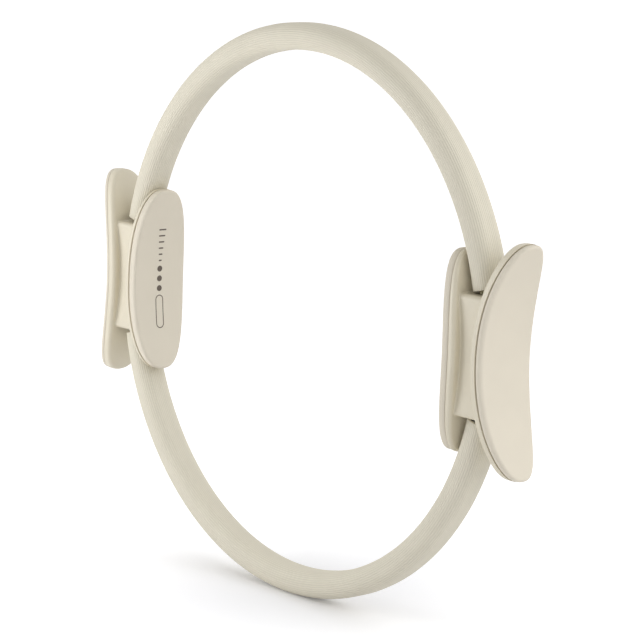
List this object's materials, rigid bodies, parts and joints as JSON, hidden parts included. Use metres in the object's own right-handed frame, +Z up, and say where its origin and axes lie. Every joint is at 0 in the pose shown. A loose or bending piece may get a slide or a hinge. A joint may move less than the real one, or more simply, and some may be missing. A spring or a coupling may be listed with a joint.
{
  "type": "pilates ring",
  "caption": "Springy exercise ring with a ribbed soft cover and a padded double-sided handle at each side, squeezed between hands or knees for resistance.",
  "frame": {"origin": "centre of the ring, midway between the two handles", "axes": "+X from the left handle to the right handle, +Y along the ring's axis away from the camera side, +Z up"},
  "size_m": [0.4022, 0.0422, 0.361],
  "materials": {
    "ribbed_cover": "matt, finely ribbed along its length",
    "soft_pad": "matt, smooth",
    "shell_plastic": "satin moulded",
    "keeper_plastic": "moulded",
    "fibreglass": "smooth pultruded",
    "foam": "fine closed cell",
    "steel": "zinc plated"
  },
  "bodies": {
    "hoop": {"inner_strip": "fibreglass", "middle_strip": "fibreglass", "outer_strip": "fibreglass", "upper_filler": "foam", "lower_filler": "foam", "upper_sleeve": "ribbed_cover", "lower_sleeve": "ribbed_cover"},
    "left_handle": {"left_inner_shell": "shell_plastic", "left_outer_shell": "shell_plastic", "left_inner_pad": "soft_pad", "left_outer_pad": "soft_pad", "left_keeper": "keeper_plastic", "left_bolts": "steel", "left_nuts": "steel"},
    "right_handle": {"right_inner_shell": "shell_plastic", "right_outer_shell": "shell_plastic", "right_inner_pad": "soft_pad", "right_outer_pad": "soft_pad", "right_keeper": "keeper_plastic", "right_bolts": "steel", "right_nuts": "steel"}
  },
  "joints": [
    {"name": "left_press", "type": "slide", "parent": "hoop", "child": "left_handle", "axis": [1, 0, 0], "range_m": [-0.012, 0.035], "stiffness_N_per_m": 6700, "deforming": ["inner_strip", "middle_strip", "outer_strip", "upper_filler", "lower_filler", "upper_sleeve", "lower_sleeve"]},
    {"name": "right_press", "type": "slide", "parent": "hoop", "child": "right_handle", "axis": [-1, 0, 0], "range_m": [-0.012, 0.035], "stiffness_N_per_m": 6700, "deforming": ["inner_strip", "middle_strip", "outer_strip", "upper_filler", "lower_filler", "upper_sleeve", "lower_sleeve"]}
  ],
  "couplings": [
    {"joint": "right_press", "follows": "left_press", "ratio": 1}
  ]
}
